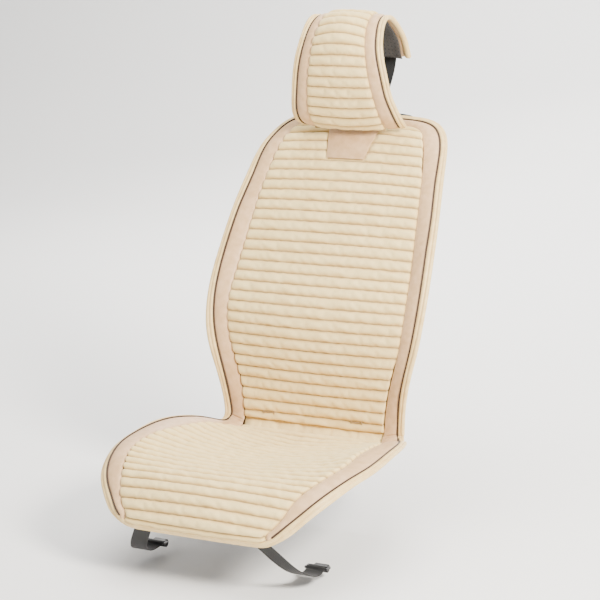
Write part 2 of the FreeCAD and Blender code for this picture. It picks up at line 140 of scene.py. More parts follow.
def makeVelvet():
    material, tree, shader = newMaterial("short pile velvet", {
        "Roughness": 0.88, "Sheen Weight": 0.35, "Sheen Roughness": 0.45, "Sheen Tint": hexColour("fff4e0"),
        "Specular IOR Level": 0.25,
    })
    place = put(tree, "TexCoord").outputs["Object"]
    # The ribRise attribute picks painted shade in the valleys and at the pinched rib ends, and a painted
    # highlight on the crowns; the nap and pile tones below are the velvet's own.
    rib = put(tree, "Attribute", {"attribute_name": "ribRise"}).outputs["Fac"]
    colour = put(tree, "ValToRGB", None, {"Fac": rib})
    setRamp(colour, [(0.0, hexColour(velvet["valley"])), (0.55, hexColour(velvet["slope"])),
                     (1.0, hexColour(velvet["crown"]))])
    nap = put(tree, "TexNoise", {"Scale": 1 / velvet["nap"], "Detail": 3}, {"Vector": place})
    napTone = put(tree, "ValToRGB", None, {"Fac": nap.outputs["Fac"]})
    setRamp(napTone, [(0.3, (0.93, 0.92, 0.90, 1)), (0.7, (1, 1, 1, 1))])
    pile = put(tree, "TexNoise", {"Scale": 1 / velvet["pile"], "Detail": 2}, {"Vector": place})
    pileTone = put(tree, "ValToRGB", None, {"Fac": pile.outputs["Fac"]})
    setRamp(pileTone, [(0.25, (0.90, 0.89, 0.87, 1)), (0.75, (1, 1, 1, 1))])
    mixed = put(tree, "MixRGB", {"blend_type": "MULTIPLY", "Fac": 1.0},
                {"Color1": colour.outputs["Color"], "Color2": napTone.outputs["Color"]})
    whole = put(tree, "MixRGB", {"blend_type": "MULTIPLY", "Fac": 1.0},
                {"Color1": mixed.outputs["Color"], "Color2": pileTone.outputs["Color"]})
    tree.links.new(whole.outputs["Color"], shader.inputs["Base Color"])
    bump = put(tree, "Bump", {"Strength": 0.35, "Distance": 0.25 * mm}, {"Height": pile.outputs["Fac"]})
    tree.links.new(bump.outputs["Normal"], shader.inputs["Normal"])
    return material


# Coated leatherette: even colour, satin coat, pebbled grain of about a millimetre.
leatherette = {"grain": 1.1 * mm, "crease": 14 * mm}


def makeLeatherette(name, dark, light):
    material, tree, shader = newMaterial(name, {
        "Roughness": 0.46, "Specular IOR Level": 0.45, "Sheen Weight": 0.08,
    })
    place = put(tree, "TexCoord").outputs["Object"]
    cells = put(tree, "TexVoronoi", {"Scale": 1 / leatherette["grain"], "feature": "F1"},
                {"Vector": place})
    soft = put(tree, "TexNoise", {"Scale": 1 / leatherette["crease"], "Detail": 4}, {"Vector": place})
    tone = put(tree, "ValToRGB", None, {"Fac": soft.outputs["Fac"]})
    setRamp(tone, [(0.3, hexColour(dark)), (0.7, hexColour(light))])
    tree.links.new(tone.outputs["Color"], shader.inputs["Base Color"])
    fine = put(tree, "Bump", {"Strength": 0.22, "Distance": 0.15 * mm}, {"Height": cells.outputs["Distance"]})
    wide = put(tree, "Bump", {"Strength": 0.25, "Distance": 0.8 * mm},
               {"Height": soft.outputs["Fac"], "Normal": fine.outputs["Normal"]})
    tree.links.new(wide.outputs["Normal"], shader.inputs["Normal"])
    return material


bandScale = 6.3  # a wave texture's scale divided by this gives bands about one thread wide


def makeWoven(name, dark, light, thread, rough):  # two crossed waves at the thread spacing
    material, tree, shader = newMaterial(name, {"Roughness": rough, "Sheen Weight": 0.15})
    place = put(tree, "TexCoord").outputs["Object"]
    across = put(tree, "TexWave",
                 {"Scale": 1 / thread / bandScale, "bands_direction": "X", "Distortion": 0.4},
                 {"Vector": place})
    along = put(tree, "TexWave",
                {"Scale": 1 / thread / bandScale, "bands_direction": "DIAGONAL", "Distortion": 0.6},
                {"Vector": place})
    weave = put(tree, "Math", {"operation": "MULTIPLY"}, {0: across.outputs["Fac"], 1: along.outputs["Fac"]})
    tone = put(tree, "ValToRGB", None, {"Fac": weave.outputs["Value"]})
    setRamp(tone, [(0.1, hexColour(dark)), (0.8, hexColour(light))])
    tree.links.new(tone.outputs["Color"], shader.inputs["Base Color"])
    bump = put(tree, "Bump", {"Strength": 0.5, "Distance": 0.4 * mm}, {"Height": weave.outputs["Value"]})
    tree.links.new(bump.outputs["Normal"], shader.inputs["Normal"])
    return material


plastic = {"spark": 0.6 * mm, "dark": "141416", "light": "202024"}


def makePlastic():  # moulded polypropylene: nearly black, fine spark texture
    material, tree, shader = newMaterial("moulded polypropylene", {
        "Roughness": 0.42, "Specular IOR Level": 0.5,
    })
    place = put(tree, "TexCoord").outputs["Object"]
    spark = put(tree, "TexNoise", {"Scale": 1 / plastic["spark"], "Detail": 2}, {"Vector": place})
    tone = put(tree, "ValToRGB", None, {"Fac": spark.outputs["Fac"]})
    setRamp(tone, [(0.3, hexColour(plastic["dark"])), (0.7, hexColour(plastic["light"]))])
    tree.links.new(tone.outputs["Color"], shader.inputs["Base Color"])
    bump = put(tree, "Bump", {"Strength": 0.3, "Distance": 0.1 * mm}, {"Height": spark.outputs["Fac"]})
    tree.links.new(bump.outputs["Normal"], shader.inputs["Normal"])
    return material


nonSlip = {"dots": 9 * mm, "knit": 1.6 * mm, "dark": "2b2826", "light": "45403c", "dot": "17171a"}


def makeNonSlip():  # knitted polyester with raised silicone dots, spaced by the UV map
    material, tree, shader = newMaterial("knitted non slip cloth", {"Roughness": 0.9, "Sheen Weight": 0.2})
    flat = put(tree, "UVMap").outputs["UV"]
    dots = put(tree, "TexVoronoi", {"Scale": 1 / nonSlip["dots"], "Randomness": 0.0, "feature": "F1"},
               {"Vector": flat})
    knit = put(tree, "TexWave",
               {"Scale": 1 / nonSlip["knit"] / bandScale, "bands_direction": "X", "Distortion": 1.5},
               {"Vector": flat})
    mask = put(tree, "ValToRGB", None, {"Fac": dots.outputs["Distance"]})
    setRamp(mask, [(0.16, (1, 1, 1, 1)), (0.22, (0, 0, 0, 1))])
    cloth = put(tree, "ValToRGB", None, {"Fac": knit.outputs["Fac"]})
    setRamp(cloth, [(0.2, hexColour(nonSlip["dark"])), (0.8, hexColour(nonSlip["light"]))])
    tone = put(tree, "MixRGB", {"Color2": hexColour(nonSlip["dot"])},
               {"Fac": mask.outputs["Color"], "Color1": cloth.outputs["Color"]})
    tree.links.new(tone.outputs["Color"], shader.inputs["Base Color"])
    lift = put(tree, "Bump", {"Strength": 0.6, "Distance": 0.6 * mm}, {"Height": mask.outputs["Color"]})
    weave = put(tree, "Bump", {"Strength": 0.35, "Distance": 0.3 * mm},
                {"Height": knit.outputs["Fac"], "Normal": lift.outputs["Normal"]})
    tree.links.new(weave.outputs["Normal"], shader.inputs["Normal"])
    return material


def makeFloor():  # matt painted studio floor
    material, tree, shader = newMaterial("studio floor", {"Roughness": 0.9, "Specular IOR Level": 0.1})
    shader.inputs["Base Color"].default_value = hexColour("f4f3f1")
    return material


finishes = {
    "velvet": makeVelvet(),
    "border": makeLeatherette("blush leatherette", "c39d70", "d5b086"),
    "binding": makeLeatherette("cream leatherette", "dab878", "e8ca8e"),
    "piping": makeWoven("brown corded piping", "2c1a0c", "54381f", 0.7 * mm, 0.8),
    "webbing": makeWoven("black elastic webbing", "060607", "1c1c20", 1.3 * mm, 0.85),
    "thread": makeWoven("cream sewing thread", "cdb083", "ecd9b4", 0.4 * mm, 0.7),
    # Bar tack thread: the thread's own colour with painted shade, made darker than the velvet to stand for
    # the shade where the tacks pull the ribs in.
    "shadedTackThread": makeWoven("bar tack thread with painted shade", "8f7145", "c4a674", 0.5 * mm, 0.7),
    "plastic": makePlastic(),
    "nonSlip": makeNonSlip(),
    "hookTape": makeWoven("moulded hook tape", "0b0b0c", "26262a", 1.0 * mm, 0.6),
    "loopTape": makeWoven("brushed loop tape", "0d0d0e", "2c2c30", 1.6 * mm, 0.95),
}
print("materials made")


def addFloor():  # a floor that sweeps up into a wall behind, so no horizon shows
    shape = bmesh.new()
    half = studio["floorSize"] / 2
    bmesh.ops.create_grid(shape, x_segments=1, y_segments=studio["floorSteps"], size=half)
    for vert in shape.verts:
        beyond = max(0.0, vert.co.y - studio["sweepStart"])
        turn = min(beyond / studio["sweepRadius"], math.pi / 2)
        straight = beyond - turn * studio["sweepRadius"]
        vert.co.y -= beyond - math.sin(turn) * studio["sweepRadius"]
        vert.co.z = studio["floorLevel"] + (1 - math.cos(turn)) * studio["sweepRadius"] + straight
    mesh = bpy.data.meshes.new("floor")
    shape.to_mesh(mesh)
    shape.free()
    for face in mesh.polygons:
        face.use_smooth = True
    floor = bpy.data.objects.new("floor", mesh)
    floor.data.materials.append(makeFloor())
    bpy.context.scene.collection.objects.link(floor)
    world = bpy.data.worlds.new("studio")
    world.use_nodes = True
    world.node_tree.nodes["Background"].inputs["Color"].default_value = (1, 1, 1, 1)
    world.node_tree.nodes["Background"].inputs["Strength"].default_value = studio["worldStrength"]
    bpy.context.scene.world = world


addFloor()


def finishPiece(shape, name, finish, smooth=0, sharp=None):
    mesh = bpy.data.meshes.new(name)
    shape.to_mesh(mesh)
    shape.free()
    for face in mesh.polygons:
        face.use_smooth = True
    piece = bpy.data.objects.new(name, mesh)
    bpy.context.scene.collection.objects.link(piece)
    mesh.materials.append(finishes[finish])
    if sharp:
        mesh.set_sharp_from_angle(angle=math.radians(sharp))
    if smooth:
        rounder = piece.modifiers.new("rounder", "SUBSURF")
        rounder.levels = rounder.render_levels = smooth
    return piece


def treeOf(names):
    shape = bmesh.new()
    for name in names:
        shape.from_mesh(nodes[name].data)
    tree = BVHTree.FromBMesh(shape)
    shape.free()
    return tree


# Each skin is read from the frame by rays between its foam's core line and the open air. An angle
# turns from +Y towards +Z; start and end are the skin's first and last row, found by its own rays.
cores = {"seat": (-0.23, -0.20), "back": (0.30, 0.25), "head": (0.235, 0.72)}
spans = {"seat": (150, 40), "back": (220, 95), "head": (262, 6)}
farOut = 0.9
weld = {"new": 0.005 * mm, "cad": 0.02 * mm}  # points nearer than this become one


def rayPoint(tree, part, angle, x, fromInside=False):
    y, z = cores[part]
    way = Vector((0, math.cos(angle), math.sin(angle)))
    start = Vector((x, y, z))
    if fromInside:
        return tree.ray_cast(start, way)[0]
    return tree.ray_cast(start + way * farOut, -way, farOut)[0]


def skinRows(tree, part, steps, fromInside=False):  # the centre line as (length, angle) pairs
    first, last = (math.radians(a) for a in spans[part])
    rows = []
    length = 0
    before = None
    for i in range(steps + 1):
        angle = first + (last - first) * i / steps
        point = rayPoint(tree, part, angle, 0, fromInside)
        if point is None:
            continue
        if before is not None:
            length += (point - before).length
        before = point
        rows.append((length, angle))
    return rows


def angleAt(rows, length):
    for (a, angleA), (b, angleB) in zip(rows, rows[1:]):
        if length <= b:
            share = (length - a) / max(b - a, 1e-9)
            return angleA + (angleB - angleA) * share
    return rows[-1][1]


# The skins' ends curve, so near an end the width is read a little further in and a ray that misses
# is turned towards the skin's middle until it meets it.
reach = {"widest": 0.32, "halvings": 14, "inside": 0.3 * mm, "endBand": math.radians(1.6),
         "nudge": math.radians(0.08), "tries": 60}


def halfWidth(tree, part, angle, fromInside=False):
    low, high = 0.0, reach["widest"]
    for _ in range(reach["halvings"]):
        middle = (low + high) / 2
        if rayPoint(tree, part, angle, middle, fromInside) is None:
            high = middle
        else:
            low = middle
    return low - reach["inside"]


def rowAcross(tree, part, rows, angle, columns, fromInside=False):
    low, high = sorted((rows[0][1], rows[-1][1]))
    steady = min(max(angle, low + reach["endBand"]), high - reach["endBand"])
    width = halfWidth(tree, part, steady, fromInside)
    inward = math.copysign(reach["nudge"], (low + high) / 2 - angle)
    points = []
    for share in columns:
        for turn in range(reach["tries"]):
            point = rayPoint(tree, part, angle + inward * turn, share * width, fromInside)
            if point is not None:
                break
        points.append(point)
    return points


def bentRows(rowA, rowB, shares, sag):  # rows across the crease, sagging into it
    rows = []
    for share in shares:
        droop = Vector(sag) * (4 * share * (1 - share))
        rows.append([a.lerp(b, share) + droop for a, b in zip(rowA, rowB)])
    return rows


def rowNormals(rows):
    result = []
    for i, row in enumerate(rows):
        above = rows[min(i + 1, len(rows) - 1)]
        below = rows[max(i - 1, 0)]
        line = []
        for j, point in enumerate(row):
            along = above[j] - below[j]
            across = row[min(j + 1, len(row) - 1)] - row[max(j - 1, 0)]
            line.append(across.cross(along).normalized())
        result.append(line)
    return result


def gridShape(rows):  # a grid with one vertex for each point; says which row and column each one has
    shape = bmesh.new()
    down, along = len(rows), len(rows[0])
    bmesh.ops.create_grid(shape, x_segments=along - 1, y_segments=down - 1, size=0.5)
    shape.loops.layers.uv.new("flat")
    shape.verts.index_update()
    cells = {}
    for vert in shape.verts:
        column = round((vert.co.x + 0.5) * (along - 1))
        row = round((vert.co.y + 0.5) * (down - 1))
        cells[vert.index] = (row, column)
        vert.co = rows[row][column]
    return shape, cells


def tubeShape(rings, closed=False, paintedShading=None):  # rings of points joined up, its ends capped
    rows = [list(ring) + [ring[0]] for ring in rings]
    if closed:
        rows.append(rows[0])
    shape, cells = gridShape(rows)
    # The ribRise layer carries painted shading: painted shade in the rib valleys and at the pinched ends, and
    # a painted highlight on the crowns.
    if paintedShading:
        layer = shape.verts.layers.float.new("ribRise")
        for vert in shape.verts:
            i, j = cells[vert.index]
            vert[layer] = paintedShading[i][j] if j < len(paintedShading[i]) else 0
    bmesh.ops.remove_doubles(shape, verts=shape.verts, dist=weld["new"])
    if not closed:
        bmesh.ops.holes_fill(shape, edges=[e for e in shape.edges if e.is_boundary], sides=0)
    bmesh.ops.recalc_face_normals(shape, faces=shape.faces)
    return shape


# Fabric under air pressure: pinned where it is sewn, let out a little so that it buckles by itself,
# and held to a small movement so that it stays in its place.
cloth = {"frames": 20, "pressure": 4.0, "growth": -0.02, "quality": 5, "mass": 0.2, "stretch": 12,
         "shear": 4, "bending": 0.5, "damping": 3}


def puffUp(piece, pinned, cap):
    group = piece.vertex_groups.new(name="sewn")
    group.add(pinned, 1.0, "REPLACE")
    sim = piece.modifiers.new("puff", "CLOTH")
    sim.settings.quality = cloth["quality"]
    sim.settings.mass = cloth["mass"]
    sim.settings.tension_stiffness = cloth["stretch"]
    sim.settings.compression_stiffness = cloth["stretch"]
    sim.settings.shear_stiffness = cloth["shear"]
    sim.settings.bending_stiffness = cloth["bending"]
    sim.settings.air_damping = cloth["damping"]
    sim.settings.use_pressure = True
    sim.settings.uniform_pressure_force = cloth["pressure"]
    sim.settings.shrink_min = cloth["growth"]
    sim.settings.vertex_group_mass = "sewn"
    sim.settings.effector_weights.gravity = 0
    sim.collision_settings.use_collision = False
    sim.point_cache.frame_start = 1
    sim.point_cache.frame_end = cloth["frames"]
    scene = bpy.context.scene
    for number in range(1, cloth["frames"] + 1):
        scene.frame_set(number)
    settled = piece.evaluated_get(bpy.context.evaluated_depsgraph_get())
    moved = [v.co.copy() for v in settled.data.vertices]
    piece.modifiers.remove(sim)
    piece.vertex_groups.remove(group)
    for vert, place in zip(piece.data.vertices, moved):
        step = place - vert.co
        if step.length > cap:
            step *= cap / step.length
        vert.co += step
    scene.frame_set(1)


# A point in front of this corner and below it belongs to the seat's part of the cover.
seam = {"sharp": 38, "step": 5 * mm, "cornerY": -0.016, "cornerZ": 0.075}


def edgeChains(name, part):  # the two long front edges of a strip, inner one first
    shape = bmesh.new()
    shape.from_mesh(nodes[name].data)
    bmesh.ops.remove_doubles(shape, verts=shape.verts, dist=weld["cad"])
    sharp = [e for e in shape.edges
             if len(e.link_faces) == 2 and e.calc_face_angle() > math.radians(seam["sharp"])]
    around = {}
    for edge in sharp:
        for vert in edge.verts:
            around.setdefault(vert, []).append(edge)
    corners = [v for v, found in around.items() if len(found) >= 3]
    used = set()
    chains = []
    for corner in corners:
        for first in around[corner]:
            if first in used:
                continue
            line, outwardness, edge, vert = [corner.co.copy()], 0.0, first, corner
            while True:
                used.add(edge)
                away = edge.verts[0].co - coreFor(edge.verts[0].co, part)
                for face in edge.link_faces:
                    outwardness += face.normal.dot(away.normalized()) * edge.calc_length()
                vert = edge.other_vert(vert)
                line.append(vert.co.copy())
                onward = [e for e in around[vert] if e not in used]
                if len(around[vert]) != 2 or not onward:
                    break
                edge = onward[0]
            length = sum((b - a).length for a, b in zip(line, line[1:]))
            chains.append((length, outwardness / max(length, 1e-9), line))
    shape.free()
    longest = sorted(chains, key=lambda c: -c[0])[:4]
    front = sorted(longest, key=lambda c: -c[1])[:2]
    front.sort(key=lambda c: sum(abs(p.x) for p in c[2]) / len(c[2]))
    return [c[2] for c in front]


def coreFor(point, part):
    if part == "head":
        return Vector((point.x, *cores["head"]))
    if point.y < seam["cornerY"] and point.z < seam["cornerZ"]:
        return Vector((point.x, *cores["seat"]))
    return Vector((point.x, *cores["back"]))


def joinLines(lines):  # end to end, each one turned to start where the last one stopped
    whole = list(lines[0])
    if len(lines) > 1:
        starts = min((lines[1][0] - whole[0]).length, (lines[1][-1] - whole[0]).length)
        ends = min((lines[1][0] - whole[-1]).length, (lines[1][-1] - whole[-1]).length)
        if starts < ends:
            whole.reverse()
    for line in lines[1:]:
        if (line[-1] - whole[-1]).length < (line[0] - whole[-1]).length:
            line = line[::-1]
        whole += line
    return whole


def evenly(line, step, closed=False, relax=6):  # points a set distance apart along a line, then relaxed
    if closed:
        line = line + [line[0]]
    lengths = [0.0]
    for a, b in zip(line, line[1:]):
        lengths.append(lengths[-1] + (b - a).length)
    count = max(4, round(lengths[-1] / step))
    points = []
    k = 0
    for i in range(count if closed else count + 1):
        goal = lengths[-1] * i / count
        while k < len(lengths) - 2 and lengths[k + 1] < goal:
            k += 1
        share = (goal - lengths[k]) / max(lengths[k + 1] - lengths[k], 1e-9)
        points.append(line[k].lerp(line[k + 1], share))
    for _ in range(relax):
        fresh = [p.copy() for p in points]
        for i in range(len(points)):
            if closed or 0 < i < len(points) - 1:
                before = points[i - 1]
                after = points[(i + 1) % len(points)]
                fresh[i] = points[i] * 0.5 + (before + after) * 0.25
        points = fresh
    return points


def nearestOn(line, point, closed=False):
    best = None
    pairs = list(zip(line, line[1:])) + ([(line[-1], line[0])] if closed else [])
    for a, b in pairs:
        span = b - a
        share = max(0.0, min(1.0, (point - a).dot(span) / max(span.length_squared, 1e-12)))
        spot = a + span * share
        gap = (spot - point).length
        if best is None or gap < best[0]:
            best = (gap, spot)
    return best[1]


def chainsOf(names, part, step, closed=False):
    found = [edgeChains(name, part) for name in names]
    return [evenly(joinLines([f[k] for f in found]), step, closed) for k in (0, 1)]


piping = {"radius": 2.3 * mm, "sides": 10, "lift": 1.1 * mm, "step": 4 * mm, "proud": 2 * mm}


def cordLine(names, part):  # the middle of a piping, lowered to the seam's own surface
    inner, outer = chainsOf(names, part, piping["step"])
    middle = [p.lerp(nearestOn(outer, p), 0.5) for p in inner]
    return [p - (p - coreFor(p, part)).normalized() * piping["proud"] for p in middle]


coverNames = {"border": ["seat_border_left", "back_border", "seat_border_right"],
              "piping": ["seat_piping_left", "back_piping", "seat_piping_right"],
              "binding": ["seat_edge_binding", "back_edge_binding"]}
borderInner = chainsOf(coverNames["border"], "cover", seam["step"])[0]
cordMiddle = cordLine(coverNames["piping"], "cover")
bindingInner, bindingOuter = chainsOf(coverNames["binding"], "cover", seam["step"], True)
print("seam lines read:", len(borderInner), len(cordMiddle), len(bindingInner))


quilt = {"pitch": 22.8 * mm, "crown": 6.6 * mm, "sink": 3.4 * mm, "proud": 3 * mm, "endTaper": 14 * mm,
         "depth": 8.5 * mm, "tuck": 2 * mm, "cap": 1.6 * mm, "columns": 76, "headColumns": 46, "samples": 500,
         # the tone at the pinched rib ends: this share of the painted highlight is kept there, and the rest
         # is painted shade
         "closer": 0.35, "flatTop": 2.6, "roundSide": 0.62, "roundEnd": 0.55, "shadedEndTone": 0.35,
         "foldSag": (0, 3 * mm, -3 * mm)}
# Puckers are noise over the width in metres and the place in ribs: two waves, and a tug at the seams.
puckers = {"wide": 22, "perRib": 0.55, "layer": 3.7, "share": 0.16, "finer": 3.1, "finerShare": 0.10,
           "tugs": 190, "tugsPerRib": 2.3, "tugLayer": 9.1, "tugShare": 0.5}
ribPlaces = {"hem": -5, "top": 60, "fold": 90}  # numbers that no counted rib has, for their puckers
halfRib = ((0.35, 0.85), (0.7, 0.8), (1.0, 0.35))  # the share of the way, and the rib's rise there
patch = {"low": 0.541, "high": 0.598, "halfLow": 0.046, "halfHigh": 0.060, "squash": 0.25}
ribSteps = [0, 0.055, 0.2, 0.4, 0.6, 0.8, 0.945]


def ribRise(share):
    return max(0.0, 1 - abs(2 * share - 1) ** quilt["flatTop"]) ** quilt["roundSide"]


def evenShares(count):  # from -1 to 1 over the width
    return [2 * i / count - 1 for i in range(count + 1)]


def columnShares(count):  # closer together near the side seams, where the ribs are pinched
    return [math.sin(math.pi / 2 * even) * quilt["closer"] + even * (1 - quilt["closer"])
            for even in evenShares(count)]


def ribbedRows(tree, part, columns):
    rows = skinRows(tree, part, quilt["samples"])
    length = rows[-1][0]
    ribs = max(1, round(length / quilt["pitch"]))
    made = []
    for rib in range(ribs):
        for step in ribSteps:
            angle = angleAt(rows, (rib + step) / ribs * length)
            made.append((rowAcross(tree, part, rows, angle, columns), ribRise(step), rib + step))
    made.append((rowAcross(tree, part, rows, rows[-1][1], columns), 0.0, float(ribs)))
    return made


def underPatch(point):
    share = (point.z - patch["low"]) / (patch["high"] - patch["low"])
    half = patch["halfLow"] + (patch["halfHigh"] - patch["halfLow"]) * share
    return 0 < share < 1 and abs(point.x) < half and point.y > 0.1


def quiltedPiece(name, made):
    points = [row for row, rise, place in made]
    for row in points:
        row[0] += (row[0] - row[1]).normalized() * quilt["tuck"]
        row[-1] += (row[-1] - row[-2]).normalized() * quilt["tuck"]
    normals = rowNormals(points)
    tops = [[p.copy() for p in row] for row in points]
    paintedShading = [[0.0] * len(row) for row in points]
    for i, (row, rise, place) in enumerate(made):
        for j, point in enumerate(row):
            edge = min((point - row[0]).length, (point - row[-1]).length)
            near = min(1.0, edge / quilt["endTaper"])
            pinch = (1 - (1 - near) ** 2) ** quilt["roundEnd"]
            spot = Vector((point.x * puckers["wide"], place * puckers["perRib"], puckers["layer"]))
            uneven = (1 + puckers["share"] * noise.noise(spot)
                      + puckers["finerShare"] * noise.noise(spot * puckers["finer"]))
            spot = Vector((point.x * puckers["tugs"], place * puckers["tugsPerRib"], puckers["tugLayer"]))
            tug = noise.noise(spot) * (1 - near) * puckers["tugShare"]
            if underPatch(point):
                uneven *= patch["squash"]
            height = quilt["crown"] * rise * pinch * (uneven + tug) - quilt["sink"]
            # Painted shading for the velvet: painted shade in the valleys and at the pinched rib ends, and a
            # painted highlight on the crowns.
            paintedShading[i][j] = rise * (quilt["shadedEndTone"] + (1 - quilt["shadedEndTone"]) * pinch)
            tops[i][j] = point + normals[i][j] * height
    sheet, cells = gridShape(tops)
    pinned = [v.index for v in sheet.verts
              if v.is_boundary or made[cells[v.index][0]][1] < 0.01 or underPatch(v.co)]
    trial = finishPiece(sheet, name + "_trial", "velvet")
    puffUp(trial, pinned, quilt["cap"])
    for vert in trial.data.vertices:
        i, j = cells[vert.index]
        tops[i][j] = vert.co.copy()
    bpy.data.objects.remove(trial)
    rings = []
    for i, row in enumerate(tops):
        under = [p - n * quilt["depth"] for p, n in zip(points[i], normals[i])]
        rings.append(row + under[::-1])
    return finishPiece(tubeShape(rings, paintedShading=paintedShading), name, "velvet", smooth=1)


def carriedOn(lastRow, line, place, closed=False):  # half a rib more, up to the next part's seam
    goal = [nearestOn(line, p, closed) for p in lastRow]
    made = []
    for share, rise in halfRib:
        row = [a.lerp(b, share) for a, b in zip(lastRow, goal)]
        made.append((row, rise, place + share))
    return made


def makeCoverQuilt():
    columns = columnShares(quilt["columns"])
    seatRows = ribbedRows(treeOf(["seat_quilted_panel"]), "seat", columns)
    backRows = ribbedRows(treeOf(["back_quilted_panel"]), "back", columns)
    hem = carriedOn(seatRows[0][0], bindingInner, ribPlaces["hem"], True)[::-1]
    top = carriedOn(backRows[-1][0], borderInner, ribPlaces["top"])
    crossing = bentRows(seatRows[-1][0], backRows[0][0], ribSteps[1:], quilt["foldSag"])
    foldRib = [(row, ribRise(step), ribPlaces["fold"] + step) for row, step in zip(crossing, ribSteps[1:])]
    piece = quiltedPiece("cover_quilt", hem + seatRows + foldRib + backRows + top)
    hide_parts("seat_quilted_panel", "back_quilted_panel")
    return piece, seatRows


def makeHeadrestQuilt():
    tree = treeOf(["headrest_quilted_panel"])
    made = ribbedRows(tree, "head", columnShares(quilt["headColumns"]))
    piece = quiltedPiece("headrest_quilt", made)
    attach(piece, "headrest_cover")
    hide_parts("headrest_quilted_panel")
    return piece


def bendAtCrease(piece):
    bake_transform(piece)


coverQuilt, seatRowsMade = makeCoverQuilt()
bendAtCrease(coverQuilt)
headrestQuilt = makeHeadrestQuilt()
print("quilted panels made:", len(coverQuilt.data.polygons), len(headrestQuilt.data.polygons))


def outwardAt(points, i, across, corePoint, closed):
    after = points[(i + 1) % len(points)] if closed else points[min(i + 1, len(points) - 1)]
    before = points[i - 1] if closed or i else points[0]
    normal = (after - before).cross(across).normalized()
    return -normal if normal.dot(points[i] - corePoint) < 0 else normal


# A strip's cross-section is a ring of (share across, mm across, mm outward), the front first. Where
# the strip is narrower than fullWidth less its spare, the ring is flattened in proportion.
strip = {"fullWidth": 16 * mm, "spare": 4 * mm, "ripple": 0.12, "ripples": 45, "layer": (2.2, 0.7),
         "ahead": 2 * mm}


def stripPiece(name, inner, outer, ring, finish, part, closed):
    rows = []
    travel = 0.0
    for i, point in enumerate(inner):
        across = nearestOn(outer, point, closed) - point
        outward = outwardAt(inner, i, across, coreFor(point, part), closed)
        size = min(1.0, (across.length + strip["spare"]) / strip["fullWidth"])
        if i:
            travel += (point - inner[i - 1]).length
        wave = 1 + strip["ripple"] * noise.noise(Vector((travel * strip["ripples"], *strip["layer"])))
        row = []
        for share, offset, height in ring:
            lift = height * mm * size * (wave if height > 0 else 1)
            row.append(point + across * share + across.normalized() * offset * mm + outward * lift)
        rows.append(row)
    return finishPiece(tubeShape(rows, closed), name, finish, smooth=1)


border = {"ring": [(0.0, -2.4, -3.4), (0.0, -2.0, -0.6), (0.04, -0.6, 1.1), (0.16, 0, 2.6), (0.34, 0, 3.5),
                   (0.5, 0, 3.8), (0.68, 0, 3.5), (0.85, 0, 2.6), (0.96, 0, 1.0), (1.0, 0, -1.0),
                   (1.0, 0, -3.4), (0.85, 0, -5.0), (0.5, 0, -5.6), (0.15, 0, -5.0)]}
binding = {"ring": [(0.0, -1.6, -3.0), (0.0, -1.3, -0.4), (0.04, 0, 1.5), (0.16, 0, 2.7), (0.30, 0, 2.9),
                    (0.44, 0, 2.1), (0.50, 0, 1.0), (0.56, 0, 2.1), (0.72, 0, 3.2), (0.90, 0, 2.4),
                    (1.0, 0.4, 0.2), (1.0, 0.6, -3.0), (0.88, 0, -6.0), (0.5, 0, -7.4), (0.12, 0, -6.2)]}


def stripOf(name, lines, ring, finish, part, replaced, closed=False):
    piece = stripPiece(name, *lines, ring, finish, part, closed)
    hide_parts(*replaced)
    return piece


def cordPiece(name, line, part, replaced):
    rows = []
    for i, point in enumerate(line):
        along = line[min(i + 1, len(line) - 1)] - line[max(i - 1, 0)]
        outward = (point - coreFor(point, part)).normalized()
        side = along.cross(outward).normalized()
        outward = side.cross(along).normalized()
        row = []
        for k in range(piping["sides"]):
            turn = 2 * math.pi * k / piping["sides"]
            row.append(point + outward * (piping["lift"] + math.sin(turn) * piping["radius"])
                       + side * math.cos(turn) * piping["radius"])
        rows.append(row)
    piece = finishPiece(tubeShape(rows), name, "piping", smooth=1)
    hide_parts(*replaced)
    return piece


def toFrontCorners(line, corners):  # carries a border's inner line on to the panel's front corners
    for atStart in (True, False):
        end = line[0] if atStart else line[-1]
        ahead = [p for p in corners if p.x * end.x > 0 and p.y < end.y - strip["ahead"]]
        ahead.sort(key=lambda p: p.y, reverse=not atStart)
        line = ahead + line if atStart else line + ahead
        last = line[0] if atStart else line[-1]
        tuck = [nearestOn(bindingInner, last, True)]
        line = tuck + line if atStart else line + tuck
    return line


panelCorners = []
for row, rise, place in seatRowsMade:
    for point in (row[0], row[-1]):
        panelCorners.append(point - (point - coreFor(point, "cover")).normalized() * quilt["proud"])
innerLine = evenly(toFrontCorners(borderInner, panelCorners), seam["step"], relax=3)
cordTucks = [nearestOn(bindingInner, cordMiddle[end], True) for end in (0, -1)]
outerLine = [cordTucks[0]] + cordMiddle + [cordTucks[1]]
coverBorder = stripOf("cover_border", (innerLine, outerLine), border["ring"], "border", "cover",
                      coverNames["border"])
bendAtCrease(coverBorder)
coverCord = cordPiece("cover_piping", cordMiddle, "cover", coverNames["piping"])
bendAtCrease(coverCord)
coverBinding = stripOf("cover_binding", (bindingInner, bindingOuter), binding["ring"], "binding", "cover",
                       coverNames["binding"], closed=True)
bendAtCrease(coverBinding)
for side in ("left", "right"):
    cord = cordLine([f"headrest_piping_{side}"], "head")
    inner = chainsOf([f"headrest_border_{side}"], "head", seam["step"])[0]
    piece = stripOf(f"headrest_border_roll_{side}", (inner, cord), border["ring"], "border", "head",
                    [f"headrest_border_{side}"])
    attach(piece, "headrest_cover")
    edges = chainsOf([f"headrest_binding_{side}"], "head", seam["step"])
    piece = stripOf(f"headrest_binding_roll_{side}", edges, binding["ring"], "binding", "head",
                    [f"headrest_binding_{side}"])
    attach(piece, "headrest_cover")
    piece = cordPiece(f"headrest_cord_{side}", cord, "head", [f"headrest_piping_{side}"])
    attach(piece, "headrest_cover")
print("borders, piping and bindings made")


